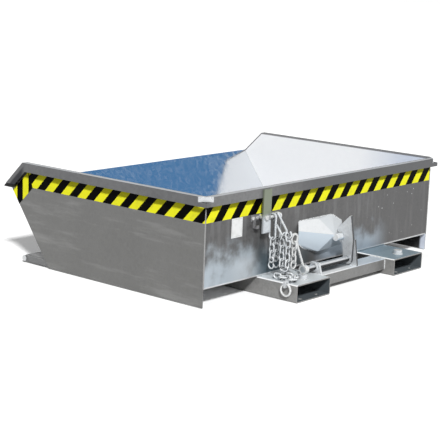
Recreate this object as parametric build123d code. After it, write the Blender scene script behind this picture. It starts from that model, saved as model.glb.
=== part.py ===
from build123d import *
import os
from math import atan2, cos, floor, radians, sin, sqrt, tan

os.makedirs("parts", exist_ok=True)

# Tub sheet sizes in millimetres
tub_width = 1640.0
top_z = 452.0
skirt_gap = 3.0
side_sheet = 4.0
wrap_sheet = 3.0
bend_radius = 6.0
foot_reach = 890.0
lip_reach = 1148.0
lip_run = 108.0
lip_z = 348.0

# Rim and tape sizes
rim_overhang = 24.0
rim_height = 40.0
rim_sheet = 3.0
rim_overrun = 17.0
rim_plug_height = 16.0
corner_leg = 40.0
corner_plate_height = 22.0
corner_plate_sheet = 3.0
tape_width = 70.0
tape_film = 0.5
tape_drop = 38.5

# Fork pocket sizes
pocket_inner_width = 220.0
pocket_inner_height = 65.0
pocket_wall = 5.0
pocket_spacing = 710.0
pocket_overhang = 200.0
vent_hole_dia = 18.0
vent_hole_from_mouth = 24.0
vent_hole_offset = 57.0
floor_clearance = 0.3

# Rear crossbar, front beam and tub hinge sizes
crossbar_depth = 80.0
crossbar_height = 50.0
crossbar_wall = 5.0
crossbar_setback = 50.0
crossbar_top_drop = 5.0
beam_end_inset = 3.5
beam_height = 26.0
beam_wall = 4.0
beam_rear_reach = 905.0
pivot_reach = 1048.0
pivot_z = 21.0
pivot_tube_dia = 28.0
pivot_pin_dia = 18.0
pivot_pin_length = 110.0
pivot_head_dia = 26.0
pivot_head_height = 4.0
pivot_clearance = 0.05
arm_thickness = 12.0
arm_height = 26.0
arm_tail_reach = 700.0
arm_side_gap = 0.5

# Latch sizes
shaft_dia = 26.0
shaft_standoff = 105.0
shaft_rise = 28.0
shaft_overrun = 71.0
shaft_stub = 1.5
shaft_clearance = 0.05
cheek_thickness = 10.0
cheek_far_y = -34.0
near_cheek_inset = 14.0
collar_dia = 40.0
collar_width = 8.0
collar_gap = 0.5
hook_thickness = 14.0
hook_side_gap = 2.0
hook_hub_dia = 48.0
lock_pin_dia = 32.0
lock_pin_standoff = 67.0
lock_pin_rise = 93.0
lock_pin_overhang = 1.0
lock_pin_length = 55.0
throat_gap = 1.5
nose_wrap = 52.0

# Latch cheek outlines, measured from the shaft or the crossbar edges
cheek_heel_inset = 2.0
cheek_toe_inset = 4.0
cheek_front_reach = 25.0
cheek_front_rise = 22.0
cheek_mid_reach = 5.0
cheek_mid_rise = 62.0
cheek_top_reach = 15.0
near_cheek_heel_inset = 10.0
near_cheek_half = 21.0
near_cheek_rise = 20.0

# Latch hook outline: back, horn, ramp and belly from the shaft, nose from the lock pin
hook_heel_reach = 23.0
hook_heel_rise = 6.0
hook_back_reach = 26.0
hook_back_rise = 86.0
horn_height = 190.0
horn_rear_reach = 9.0
horn_front_reach = 4.0
horn_lean = 1.0
ramp_reach = 18.0
ramp_rise = 167.0
nose_top_reach = 16.0
nose_top_rise = 37.0
nose_front_reach = 20.0
nose_front_rise = 25.0
throat_back_reach = 8.0
throat_back_drop = 22.0
belly_reach = 22.0
belly_rise = 9.0

# Latch hood outline on the back wall, heights measured from the lock pin
hood_sheet = 4.7
hood_near_y = 214.0
hood_near_rise = 35.0
hood_crown_y = 207.0
hood_crown_rise = 82.0
hood_top_y = 72.0
hood_top_rise = 76.0
hood_far_y = -27.0
hood_far_rise = 87.0
hood_far_drop = 66.0
hood_low_y = 52.0
hood_low_drop = 66.0
hood_foot_y = 199.0
hood_foot_drop = 20.0
hood_tip_y = 14.0
hood_centre_y = 70.0
hood_centre_rise = 5.0

# Release lever and pull chain sizes
lever_rod_dia = 11.0
lever_hub_dia = 38.0
lever_hub_width = 22.0
lever_ring_radius = 20.0
lever_ring_out = 53.0
lever_ring_standoff = 95.0
lever_ring_rise = 138.0
lever_rod_end = 14.0
grip_ring_radius = 16.0

# Chain sizes
link_wire = 8.0
link_inner_length = 28.0
link_inner_width = 13.0
link_gap = 0.3
top_link_wire = 9.0
top_link_inner_length = 100.0
top_link_inner_width = 22.0
chain_hook_radius = 13.0
chain_hook_wire = 7.2
chain_floor_room = 32.0
pull_floor_room = 13.0
slack_from_mouth = 137.5
slack_from_edge = 24.0
slack_headings = [180, 200, 165, 240, 300, 350, 20, -30]

# Hanger bar, peg, plates and parking hook sizes
hanger_width = 50.0
hanger_thickness = 8.0
hanger_from_side = 350.0
hanger_top_drop = 6.0
hanger_length = 182.0
hanger_bolt_dia = 12.0
hanger_bolt_drop = 122.0
hanger_bolt_shift = 8.0
hanger_bolt_tail = 3.0
hanger_bolt_head = 19.0
hanger_bolt_head_height = 8.0
hanger_nut_height = 10.0
hanger_spacer_dia = 22.0
peg_dia = 14.0
peg_flat = 1.0
peg_seat = 16.0
peg_head_dia = 24.0
peg_head_height = 5.0
peg_end_room = 7.5
peg_drop = 121.0
chain_from_bar = 7.0
chain_spacing = 30.5
tag_width = 42.0
tag_gap = 1.0
tag_margin = 4.0
label_film = 0.5
plate_width = 68.0
plate_height = 80.0
plate_tape_gap = 1.5
plate_from_parking = 107.0
parking_from_hanger = 46.0
parking_width = 48.0
parking_height = 26.0
parking_tape_gap = 1.5
parking_sheet = 4.0
parking_tongue_width = 16.0
parking_tongue_drop = 30.0
parking_tongue_reach = 22.0
parking_tongue_lip = 14.0
parking_bolt_dia = 8.0
parking_bolt_head = 13.0
parking_bolt_head_height = 5.3
parking_bolt_spacing = 28.0
parking_bolt_tail = 2.0

# Fork clamps and anchor ring sizes
clamp_from_mouth = 58.0
clamp_boss_dia = 40.0
clamp_boss_height = 18.0
clamp_screw_dia = 20.0
clamp_screw_clearance = 0.1
clamp_socket = 10.0
clamp_socket_depth = 10.0
eye_from_mouth = 48.0
eye_thickness = 10.0
eye_reach = 24.0
eye_height = 30.0
eye_hole_dia = 13.0
ring_radius = 24.0
ring_wire = 9.0
ring_seat_gap = 1.2

# Length by which cutting shapes pass the faces that they cut
cut_over = 1.0

# Places worked out from the sizes above
knee_reach = lip_reach - lip_run
rim_slope = atan2(top_z - lip_z, lip_run)
tip_reach = lip_reach + rim_overrun
tip_z = lip_z - rim_overrun * tan(rim_slope)
rim_end_z = tip_z + rim_plug_height
wall = (pocket_overhang - tip_reach) / 2
side_y = tub_width / 2
inner_y = side_y - side_sheet
pocket_width = pocket_inner_width + 2 * pocket_wall
pocket_height = pocket_inner_height + 2 * pocket_wall
pocket_y = pocket_spacing / 2
mouth = wall - pocket_overhang
floor_z = pocket_height + floor_clearance
slope_run = (lip_reach - foot_reach) / (lip_z - skirt_gap)
bend_reach = foot_reach + (floor_z - skirt_gap) * slope_run
slope_angle = atan2(lip_z - skirt_gap, lip_reach - foot_reach)
pivot_x = wall + pivot_reach
beam_rear = wall + beam_rear_reach
crossbar_rear = mouth + crossbar_setback
crossbar_front = crossbar_rear + crossbar_depth
crossbar_top = pocket_height - crossbar_top_drop
crossbar_half = pocket_y - pocket_width / 2
shaft_x = wall - shaft_standoff
shaft_z = crossbar_top + shaft_rise
pin_x = wall - lock_pin_standoff
pin_z = shaft_z + lock_pin_rise
shaft_far_y = cheek_far_y - collar_gap - collar_width - shaft_stub
shaft_near_y = crossbar_half + shaft_overrun
cheek_near_y = crossbar_half - near_cheek_inset - cheek_thickness
hook_far_y = cheek_far_y + cheek_thickness + hook_side_gap
hook_near_y = hook_far_y + hook_thickness
lock_pin_far_y = hook_far_y - lock_pin_overhang
lock_pin_near_y = lock_pin_far_y + lock_pin_length
lever_ring_y = shaft_near_y + lever_ring_out
tape_top_z = top_z - tape_drop
tape_low_z = tape_top_z - tape_width
hanger_y = side_y - hanger_from_side
hanger_top_z = top_z - hanger_top_drop
hanger_bottom_z = hanger_top_z - hanger_length
hanger_bolt_z = top_z - hanger_bolt_drop
hanger_bolt_y = hanger_y + hanger_bolt_shift
peg_z = top_z - peg_drop
parking_y = hanger_y + parking_from_hanger
parking_bottom_z = tape_low_z - parking_tape_gap - parking_height
plate_y = parking_y + plate_from_parking
plate_top = tape_low_z - plate_tape_gap
plate_bottom_z = plate_top - plate_height
link_outer_pitch = link_inner_length - link_gap
link_half = (link_inner_length + link_wire) / 2


# Small helpers for plain shapes
def block(x0, x1, y0, y1, z0, z1):
    centre = Pos((x0 + x1) / 2, (y0 + y1) / 2, (z0 + z1) / 2)
    return centre * Box(x1 - x0, y1 - y0, z1 - z0)


def side_plate(points, y0, y1):
    face = make_face(Polyline(*points, close=True))
    return extrude(Plane.XZ.offset(-y1) * face, amount=y1 - y0)


def flat_plate(points, z0, z1):
    face = make_face(Polyline(*points, close=True))
    return extrude(Plane.XY.offset(z0) * face, amount=z1 - z0)


def rod_x(y, z, dia, x0, x1):
    return Pos((x0 + x1) / 2, y, z) * Rot(0, 90, 0) * Cylinder(dia / 2, x1 - x0)


def rod_y(x, z, dia, y0, y1):
    return Pos(x, (y0 + y1) / 2, z) * Rot(90, 0, 0) * Cylinder(dia / 2, y1 - y0)


def rod_z(x, y, dia, z0, z1):
    return Pos(x, y, (z0 + z1) / 2) * Cylinder(dia / 2, z1 - z0)


def rod_between(a, b, dia):
    start = Vector(*a)
    run = Vector(*b) - start
    base = Plane(origin=start, z_dir=run)
    return extrude(base * Circle(dia / 2), amount=run.length)


def hex_x(y, z, flats, x0, x1):
    base = Plane(origin=(x0, y, z), x_dir=(0, 1, 0), z_dir=(1, 0, 0))
    return extrude(base * RegularPolygon(flats / 2, 6, major_radius=False), amount=x1 - x0)


def mirrored(shape):
    return mirror(shape, about=Plane.XZ)


# One chain link standing in the XZ plane, centred on the origin
def chain_link(inner_length, inner_width, wire):
    arc_radius = (inner_width + wire) / 2
    straight = inner_length - inner_width
    half = straight / 2
    profile = Pos(arc_radius, 0, half) * Circle(wire / 2)
    top = revolve(profile, axis=Axis((0, 0, half), (0, -1, 0)), revolution_arc=180)
    low_profile = Pos(arc_radius, 0, -half) * Circle(wire / 2)
    low = revolve(low_profile, axis=Axis((0, 0, -half), (0, 1, 0)), revolution_arc=180)
    right = rod_z(arc_radius, 0, wire, -half, half)
    left = rod_z(-arc_radius, 0, wire, -half, half)
    return top + low + right + left


# Rim band: the strip between two depths below the sloping top line
def rim_band(start, high, low, end_z):
    points = []
    for depth in (high, low):
        bend = wall + knee_reach - depth * tan(rim_slope / 2)
        run = (top_z - depth - end_z) / tan(rim_slope)
        line = [(start, top_z - depth), (bend, top_z - depth), (bend + run, end_z)]
        points.append(line)
    return points[0] + points[1][::-1]


nodes = {}

# Tub wrap sheet: back wall, floor and front slope bent from one sheet
in_lip_x = lip_reach - wrap_sheet * sin(slope_angle)
in_lip_z = lip_z + wrap_sheet * cos(slope_angle)
in_bend = bend_reach - wrap_sheet * tan(slope_angle / 2)
outer_points = [(wall, top_z), (wall, floor_z), (wall + bend_reach, floor_z), (wall + lip_reach, lip_z)]
inner_points = [
    (wall + wrap_sheet, top_z),
    (wall + wrap_sheet, floor_z + wrap_sheet),
    (wall + in_bend, floor_z + wrap_sheet),
    (wall + in_lip_x, in_lip_z),
]
outer_line = FilletPolyline(*outer_points, radius=bend_radius + wrap_sheet)
inner_line = FilletPolyline(*inner_points, radius=bend_radius)
lip_line = Line(outer_points[3], inner_points[3])
top_line = Line(outer_points[0], inner_points[0])
wrap_face = make_face(outer_line.edges() + inner_line.edges() + [lip_line.edge(), top_line.edge()])
nodes["tub_wrap_sheet"] = extrude(Plane.XZ.offset(-inner_y) * wrap_face, amount=2 * inner_y)

# Side panels with their skirts
panel_points = [
    (wall, skirt_gap),
    (wall + foot_reach, skirt_gap),
    (wall + lip_reach, lip_z),
    (wall + knee_reach, top_z),
    (wall, top_z),
]
panel = side_plate(panel_points, inner_y, side_y)
nodes["tub_side_panel_left"] = panel
nodes["tub_side_panel_right"] = mirrored(panel)

# Rim angles, mitred and bevelled at the rear corners, with a plug on each front end
rim_out = side_y + rim_overhang
rim_rear = wall - rim_overhang
band = side_plate(rim_band(rim_rear, 0, rim_height, rim_end_z), side_y, rim_out)
hollow_band = rim_band(rim_rear, rim_sheet, rim_height + cut_over, rim_end_z - cut_over)
hollow = side_plate(hollow_band, side_y, rim_out - rim_sheet)
mitre_side = flat_plate([(wall, side_y), (rim_rear, rim_out), (rim_rear, side_y)], 0, top_z + cut_over)
bevel_shift = corner_plate_sheet * 2 ** 0.5
corner_outer_a = (rim_rear + corner_leg, rim_out)
corner_outer_b = (rim_rear, rim_out - corner_leg)
corner_inner_a = (rim_rear + corner_leg + bevel_shift, rim_out)
corner_inner_b = (rim_rear, rim_out - corner_leg - bevel_shift)
bevel_z = top_z - corner_plate_height
bevel_cut = flat_plate([corner_inner_a, (rim_rear, rim_out), corner_inner_b], bevel_z, top_z)
rim_side = band - hollow - mitre_side - bevel_cut
nodes["rim_left"] = rim_side
nodes["rim_right"] = mirrored(rim_side)
back_bar = block(rim_rear, wall, -rim_out, rim_out, top_z - rim_height, top_z)
back_hollow = block(rim_rear + rim_sheet, wall, -rim_out, rim_out, top_z - rim_height, top_z - rim_sheet)
mitre_back = flat_plate([(wall, side_y), (rim_rear, rim_out), (wall, rim_out)], 0, top_z + cut_over)
rim_back = back_bar - back_hollow - mitre_back - mirrored(mitre_back)
nodes["rim_back"] = rim_back - bevel_cut - mirrored(bevel_cut)
corner_plate = flat_plate([corner_outer_a, corner_outer_b, corner_inner_b, corner_inner_a], bevel_z, top_z)
nodes["rim_corner_plates"] = Compound(children=[corner_plate, mirrored(corner_plate)])
whole_band = side_plate(rim_band(rim_rear, 0, rim_height, tip_z), side_y + tape_film, rim_out)
rim_plug = whole_band - band
nodes["rim_end_plugs"] = Compound(children=[rim_plug, mirrored(rim_plug)])

# Hazard tape films under the rim
tape_end_z = lip_z - 2 * tape_width
tape_band = rim_band(wall, tape_drop, tape_drop + tape_width, tape_end_z)
tape_strip = side_plate(tape_band, side_y, side_y + tape_film)
tape_limit = side_plate(panel_points, side_y, side_y + tape_film)
tape_side = tape_strip & tape_limit
nodes["hazard_tape_left"] = tape_side
nodes["hazard_tape_right"] = mirrored(tape_side)
nodes["hazard_tape_back"] = block(wall - tape_film, wall, -side_y, side_y, tape_low_z, tape_top_z)

# Hinge arms on the side panels and their pivot pins
arm_low = pivot_z - arm_height / 2
arm_high = pivot_z + arm_height / 2
arm_far = inner_y - arm_thickness
arm_bar = block(wall + arm_tail_reach, pivot_x, arm_far, inner_y, arm_low, arm_high)
arm_end = rod_y(pivot_x, pivot_z, arm_height, arm_far, inner_y)
arm_hole = rod_y(pivot_x, pivot_z, pivot_pin_dia, arm_far - cut_over, inner_y + cut_over)
arm = arm_bar + arm_end - arm_hole
nodes["hinge_arm_left"] = arm
nodes["hinge_arm_right"] = mirrored(arm)
pivot_shank = rod_y(pivot_x, pivot_z, pivot_pin_dia, inner_y - pivot_pin_length, inner_y)
pivot_head = rod_y(pivot_x, pivot_z, pivot_head_dia, inner_y, inner_y + pivot_head_height)
pivot_pin = pivot_shank + pivot_head
nodes["pivot_pin_left"] = pivot_pin
nodes["pivot_pin_right"] = mirrored(pivot_pin)

# Latch hood: a faceted shell between the back wall and the lock pin
hood_rim = [
    (wall, hood_near_y, pin_z + hood_near_rise),
    (wall, hood_crown_y, pin_z + hood_crown_rise),
    (wall, hood_top_y, pin_z + hood_top_rise),
    (wall, hood_far_y, pin_z + hood_far_rise),
    (wall, 0, pin_z - hood_far_drop),
    (wall, hood_low_y, pin_z - hood_low_drop),
    (wall, hood_foot_y, pin_z - hood_foot_drop),
]
hood_tip = (pin_x, hood_tip_y, pin_z)
hood_faces = [Face(Wire.make_polygon([Vector(*p) for p in hood_rim], close=True))]
for first, second in zip(hood_rim, hood_rim[1:] + hood_rim[:1]):
    corners = [Vector(*first), Vector(*second), Vector(*hood_tip)]
    hood_faces.append(Face(Wire.make_polygon(corners, close=True)))
hood_solid = Solid(Shell(hood_faces))
hood_centre = Vector(wall, hood_centre_y, pin_z + hood_centre_rise)
core_share = 1 - hood_sheet / lock_pin_standoff
hood_core = Pos(hood_centre) * scale(Pos(-hood_centre) * hood_solid, by=core_share)
pin_room = rod_y(pin_x, pin_z, lock_pin_dia, lock_pin_far_y - cut_over, lock_pin_near_y)
nodes["latch_hood"] = hood_solid - hood_core - pin_room
nodes["lock_pin"] = rod_y(pin_x, pin_z, lock_pin_dia, lock_pin_far_y, lock_pin_near_y)

# Hanger bar on the rim with its spacer, bolt and nut
bar_front = rim_rear
bar_rear = bar_front - hanger_thickness
bar_far = hanger_y - hanger_width / 2
bar_near = hanger_y + hanger_width / 2
bar = block(bar_rear, bar_front, bar_far, bar_near, hanger_bottom_z, hanger_top_z)
sheet_front = wall + wrap_sheet
bolt_hole = rod_x(hanger_bolt_y, hanger_bolt_z, hanger_bolt_dia, bar_rear - cut_over, sheet_front + cut_over)
nodes["hanger_bar"] = bar - bolt_hole
nodes["tub_wrap_sheet"] = nodes["tub_wrap_sheet"] - bolt_hole
spacer = rod_x(hanger_bolt_y, hanger_bolt_z, hanger_spacer_dia, bar_front, wall)
nodes["hanger_spacer"] = spacer - bolt_hole
nut_front = sheet_front + hanger_nut_height
shank = rod_x(hanger_bolt_y, hanger_bolt_z, hanger_bolt_dia, bar_rear, nut_front + hanger_bolt_tail)
head_rear = bar_rear - hanger_bolt_head_height
head = hex_x(hanger_bolt_y, hanger_bolt_z, hanger_bolt_head, head_rear, bar_rear)
nodes["hanger_bolt"] = shank + head
nut = hex_x(hanger_bolt_y, hanger_bolt_z, hanger_bolt_head, sheet_front, nut_front)
nut_hole = rod_x(hanger_bolt_y, hanger_bolt_z, hanger_bolt_dia, wall, nut_front + cut_over)
nodes["hanger_nut"] = nut - nut_hole

# Chain peg laid across the hanger bar's rear face, with room for two chains and a head
chain_y = bar_far - chain_from_bar
second_y = chain_y - chain_spacing
peg_x = bar_rear - peg_dia / 2 + peg_flat
peg_tip = second_y - peg_end_room
peg_shank = rod_y(peg_x, peg_z, peg_dia, peg_tip, bar_far + peg_seat)
peg_head = rod_y(peg_x, peg_z, peg_head_dia, peg_tip - peg_head_height, peg_tip)
nodes["chain_peg"] = peg_shank - bar + peg_head

# Blank tag on the bar and blank plate on the wall
tag_far = hanger_y - tag_width / 2
tag_near = hanger_y + tag_width / 2
tag_low = hanger_bottom_z + tag_margin
tag_top = hanger_bolt_z - hanger_bolt_head / sqrt(3) - tag_gap
nodes["blank_tag"] = block(bar_rear - label_film, bar_rear, tag_far, tag_near, tag_low, tag_top)
plate_far = plate_y - plate_width / 2
plate_near = plate_y + plate_width / 2
nodes["blank_plate"] = block(wall - label_film, wall, plate_far, plate_near, plate_bottom_z, plate_top)

# Parking hook plate with two bolts
park_rear = wall - parking_sheet
park_top = parking_bottom_z + parking_height
park_low = parking_bottom_z - parking_tongue_drop
park_tip = wall - parking_tongue_reach
park_far = parking_y - parking_width / 2
park_near = parking_y + parking_width / 2
park_plate = block(park_rear, wall, park_far, park_near, parking_bottom_z, park_top)
tongue_points = [
    (wall, parking_bottom_z),
    (wall, park_low),
    (park_tip, park_low),
    (park_tip, park_low + parking_tongue_lip),
    (park_tip + parking_sheet, park_low + parking_tongue_lip),
    (park_tip + parking_sheet, park_low + parking_sheet),
    (park_rear, park_low + parking_sheet),
    (park_rear, parking_bottom_z),
]
tongue_half = parking_tongue_width / 2
tongue = side_plate(tongue_points, parking_y - tongue_half, parking_y + tongue_half)
park = park_plate + tongue
park_bolts = []
park_bolt_z = parking_bottom_z + parking_height / 2
for shift in (-parking_bolt_spacing / 2, parking_bolt_spacing / 2):
    bolt_y = parking_y + shift
    bolt_room = rod_x(bolt_y, park_bolt_z, parking_bolt_dia, park_rear - cut_over, sheet_front + cut_over)
    park = park - bolt_room
    nodes["tub_wrap_sheet"] = nodes["tub_wrap_sheet"] - bolt_room
    bolt_tip = sheet_front + parking_bolt_tail
    bolt_shank = rod_x(bolt_y, park_bolt_z, parking_bolt_dia, park_rear, bolt_tip)
    bolt_rear = park_rear - parking_bolt_head_height
    bolt_head = hex_x(bolt_y, park_bolt_z, parking_bolt_head, bolt_rear, park_rear)
    park_bolts.append(bolt_shank + bolt_head)
nodes["parking_hook"] = park
nodes["parking_hook_bolts"] = Compound(children=park_bolts)

# Two chains on the peg, each a long top link, alternating links and an open end hook
top_bow = peg_z + peg_dia / 2 + link_gap / 2 + top_link_wire / 2
top_link = chain_link(top_link_inner_length, top_link_inner_width, top_link_wire)
top_centre = top_bow - (top_link_inner_length + top_link_wire) / 2
link = chain_link(link_inner_length, link_inner_width, link_wire)
first_bow = top_bow - top_link_inner_length + link_wire / 2 - top_link_wire / 2 + link_gap
eye_major = link_inner_width / 2 + link_wire / 2
hook_drop = 2 * (eye_major + chain_hook_radius) + link_wire / 2
chain_low = pocket_height + chain_floor_room
chain_room = first_bow - hook_drop - chain_low
chain_link_count = max(1, floor(chain_room / link_outer_pitch))
last_low = first_bow - (chain_link_count - 1) * link_outer_pitch - 2 * link_half
eye_turn = 90 * ((chain_link_count + 1) % 2)
eye_z = last_low + link_wire + link_gap - eye_major
hook_eye = Pos(0, 0, eye_z) * Rot(0, 0, eye_turn) * Rot(90, 0, 0) * Torus(eye_major, link_wire / 2)
hook_z = eye_z - eye_major - chain_hook_radius
hook_round = Pos(chain_hook_radius, 0, hook_z) * Circle(chain_hook_wire / 2)
hook_axis = Axis((0, 0, hook_z), (0, 1, 0))
hook_bow = revolve(hook_round, axis=hook_axis, revolution_arc=180)
hook_back = Pos(0, 0, hook_z + chain_hook_radius) * Rot(0, 90, 0) * Circle(chain_hook_wire / 2)
hook_rise = revolve(hook_back, axis=hook_axis, revolution_arc=90)
end_hook = hook_eye + hook_bow + hook_rise
for prefix, strand_y in (("chain", chain_y), ("second_chain", second_y)):
    nodes[prefix + "_top_link"] = Pos(peg_x, strand_y, top_centre) * top_link
    strand_links = []
    for number in range(chain_link_count):
        turn = 90 * ((number + 1) % 2)
        centre_z = first_bow - number * link_outer_pitch - link_half
        strand_links.append(Pos(peg_x, strand_y, centre_z) * Rot(0, 0, turn) * link)
    nodes[prefix + "_links"] = Compound(children=strand_links)
    nodes[prefix + "_hook"] = Pos(peg_x, strand_y, 0) * end_hook

# Fork pockets with vent holes and clamp bosses
pocket_far = pocket_y - pocket_width / 2
pocket_near = pocket_y + pocket_width / 2
pocket_box = block(mouth, beam_rear, pocket_far, pocket_near, 0, pocket_height)
pocket_bore = block(
    mouth - cut_over,
    beam_rear + cut_over,
    pocket_far + pocket_wall,
    pocket_near - pocket_wall,
    pocket_wall,
    pocket_height - pocket_wall,
)
pocket = pocket_box - pocket_bore
for shift in (-vent_hole_offset, vent_hole_offset):
    vent_x = mouth + vent_hole_from_mouth
    pocket = pocket - rod_z(vent_x, pocket_y + shift, vent_hole_dia, -cut_over, pocket_wall + cut_over)
clamp_x = mouth + clamp_from_mouth
clamp_hole_dia = clamp_screw_dia + 2 * clamp_screw_clearance
boss_top = pocket_height + clamp_boss_height
hole_low = pocket_height - pocket_wall - cut_over
clamp_hole = rod_z(clamp_x, pocket_y, clamp_hole_dia, hole_low, boss_top + cut_over)
pocket = pocket - clamp_hole
nodes["fork_pocket_left"] = pocket
nodes["fork_pocket_right"] = mirrored(pocket)
boss = rod_z(clamp_x, pocket_y, clamp_boss_dia, pocket_height, boss_top) - clamp_hole
nodes["fork_clamp_bosses"] = Compound(children=[boss, mirrored(boss)])
screw_rod = rod_z(clamp_x, pocket_y, clamp_screw_dia, pocket_height - pocket_wall, boss_top)
socket_base = Plane.XY.offset(boss_top - clamp_socket_depth)
socket_face = Pos(clamp_x, pocket_y) * RegularPolygon(clamp_socket / 2, 6, major_radius=False)
screw = screw_rod - extrude(socket_base * socket_face, amount=clamp_socket_depth + cut_over)
nodes["fork_clamp_screw_left"] = screw
nodes["fork_clamp_screw_right"] = mirrored(screw)

# Rear crossbar between the pockets
bar_low = crossbar_top - crossbar_height
tube = block(crossbar_rear, crossbar_front, -crossbar_half, crossbar_half, bar_low, crossbar_top)
tube_bore = block(
    crossbar_rear + crossbar_wall,
    crossbar_front - crossbar_wall,
    -crossbar_half - cut_over,
    crossbar_half + cut_over,
    bar_low + crossbar_wall,
    crossbar_top - crossbar_wall,
)
nodes["rear_crossbar"] = tube - tube_bore

# Front beam with the pivot tube seated in its front edge
tube_half = inner_y - arm_thickness - arm_side_gap
beam_half = tube_half - beam_end_inset
beam_front = pivot_x - pivot_tube_dia / 4
beam_low = pivot_z - beam_height / 2
beam_high = pivot_z + beam_height / 2
beam_box = block(beam_rear, beam_front, -beam_half, beam_half, beam_low, beam_high)
beam_bore = block(
    beam_rear + beam_wall,
    pivot_x,
    -beam_half - cut_over,
    beam_half + cut_over,
    beam_low + beam_wall,
    beam_high - beam_wall,
)
seat = rod_y(pivot_x, pivot_z, pivot_tube_dia, -beam_half - cut_over, beam_half + cut_over)
nodes["front_beam"] = beam_box - beam_bore - seat
tube_bore_dia = pivot_pin_dia + 2 * pivot_clearance
pivot_outer = rod_y(pivot_x, pivot_z, pivot_tube_dia, -tube_half, tube_half)
bore_half = tube_half + cut_over
nodes["pivot_tube"] = pivot_outer - rod_y(pivot_x, pivot_z, tube_bore_dia, -bore_half, bore_half)

# Latch cheeks on the crossbar
far_points = [
    (crossbar_rear + cheek_heel_inset, crossbar_top),
    (crossbar_front - cheek_toe_inset, crossbar_top),
    (shaft_x + cheek_front_reach, shaft_z + cheek_front_rise),
    (shaft_x + cheek_mid_reach, shaft_z + cheek_mid_rise),
    (shaft_x - cheek_top_reach, shaft_z + hook_back_rise),
    (shaft_x - hook_back_reach, shaft_z + hook_back_rise),
]
near_points = [
    (crossbar_rear + near_cheek_heel_inset, crossbar_top),
    (crossbar_front - cheek_toe_inset, crossbar_top),
    (shaft_x + near_cheek_half, shaft_z + near_cheek_rise),
    (shaft_x - near_cheek_half, shaft_z + near_cheek_rise),
]
cut_far = shaft_far_y - cut_over
cut_near = shaft_near_y + cut_over
cheek_bore = rod_y(shaft_x, shaft_z, shaft_dia + 2 * shaft_clearance, cut_far, cut_near)
far_cheek = side_plate(far_points, cheek_far_y, cheek_far_y + cheek_thickness)
near_cheek = side_plate(near_points, cheek_near_y, cheek_near_y + cheek_thickness)
nodes["latch_cheek_far"] = far_cheek - cheek_bore
nodes["latch_cheek_near"] = near_cheek - cheek_bore

# Latch shaft with its collars
nodes["latch_shaft"] = rod_y(shaft_x, shaft_z, shaft_dia, shaft_far_y, shaft_near_y)
shaft_room = rod_y(shaft_x, shaft_z, shaft_dia, cut_far, cut_near)
collar_far_near = cheek_far_y - collar_gap
collar_near_far = cheek_near_y + cheek_thickness + collar_gap
far_collar = rod_y(shaft_x, shaft_z, collar_dia, collar_far_near - collar_width, collar_far_near)
near_collar = rod_y(shaft_x, shaft_z, collar_dia, collar_near_far, collar_near_far + collar_width)
nodes["shaft_collars"] = Compound(children=[far_collar - shaft_room, near_collar - shaft_room])

# Latch hook: hub, back, horn with ramp and nose over the lock pin
throat_radius = lock_pin_dia / 2 + throat_gap
nose_x = pin_x + throat_radius * cos(radians(nose_wrap))
nose_z = pin_z + throat_radius * sin(radians(nose_wrap))
hook_points = [
    (shaft_x - hook_heel_reach, shaft_z + hook_heel_rise),
    (shaft_x - hook_back_reach, shaft_z + hook_back_rise),
    (shaft_x - horn_rear_reach, shaft_z + horn_height - horn_lean),
    (shaft_x - horn_front_reach, shaft_z + horn_height),
    (shaft_x + ramp_reach, shaft_z + ramp_rise),
    (pin_x + nose_top_reach, pin_z + nose_top_rise),
    (pin_x + nose_front_reach, pin_z + nose_front_rise),
    (nose_x, nose_z),
    (pin_x, pin_z),
    (pin_x - throat_back_reach, pin_z - throat_back_drop),
    (shaft_x + belly_reach, shaft_z + belly_rise),
]
hook_plate = side_plate(hook_points, hook_far_y, hook_near_y)
hook_hub = rod_y(shaft_x, shaft_z, hook_hub_dia, hook_far_y, hook_near_y)
throat = rod_y(pin_x, pin_z, 2 * throat_radius, hook_far_y - cut_over, hook_near_y + cut_over)
nodes["latch_hook"] = hook_plate + hook_hub - throat - shaft_room

# Release lever: hub, cranked rod leaning to the left and pull ring
lever_far = shaft_near_y - lever_hub_width
hub_mid = shaft_near_y - lever_hub_width / 2
lever_hub = rod_y(shaft_x, shaft_z, lever_hub_dia, lever_far, shaft_near_y)
ring_x = wall - lever_ring_standoff
ring_z = shaft_z + lever_ring_rise
rod_end = (ring_x, lever_ring_y - lever_rod_end, ring_z - lever_rod_end)
crank = rod_between((shaft_x, hub_mid, shaft_z), rod_end, lever_rod_dia)
ring_place = Pos(ring_x, lever_ring_y, ring_z) * Rot(0, 90, 0)
pull_ring = ring_place * Torus(lever_ring_radius, lever_rod_dia / 2)
ring_room = ring_place * Cylinder(lever_ring_radius, 2 * lever_rod_dia)
nodes["release_lever"] = lever_hub + (crank - ring_room) + pull_ring - shaft_room

# Pull chain on the lever ring with a grip ring at its end
pull_bow = ring_z - lever_ring_radius + lever_rod_dia / 2 + link_wire / 2 + link_gap
grip_drop = 2 * grip_ring_radius + link_wire / 2
pull_room = pull_bow - grip_drop - boss_top - pull_floor_room
pull_link_count = max(1, floor(pull_room / link_outer_pitch))
pull_links = []
for number in range(pull_link_count):
    turn = 90 * (number % 2)
    centre_z = pull_bow - number * link_outer_pitch - link_half
    pull_links.append(Pos(ring_x, lever_ring_y, centre_z) * Rot(0, 0, turn) * link)
nodes["pull_chain_links"] = Compound(children=pull_links)
pull_low = pull_bow - (pull_link_count - 1) * link_outer_pitch - 2 * link_half
grip_z = pull_low + link_wire + link_gap - grip_ring_radius
grip_turn = 90 * (pull_link_count % 2)
grip_place = Pos(ring_x, lever_ring_y, grip_z) * Rot(0, 0, grip_turn) * Rot(90, 0, 0)
nodes["pull_grip_ring"] = grip_place * Torus(grip_ring_radius, link_wire / 2)

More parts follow.
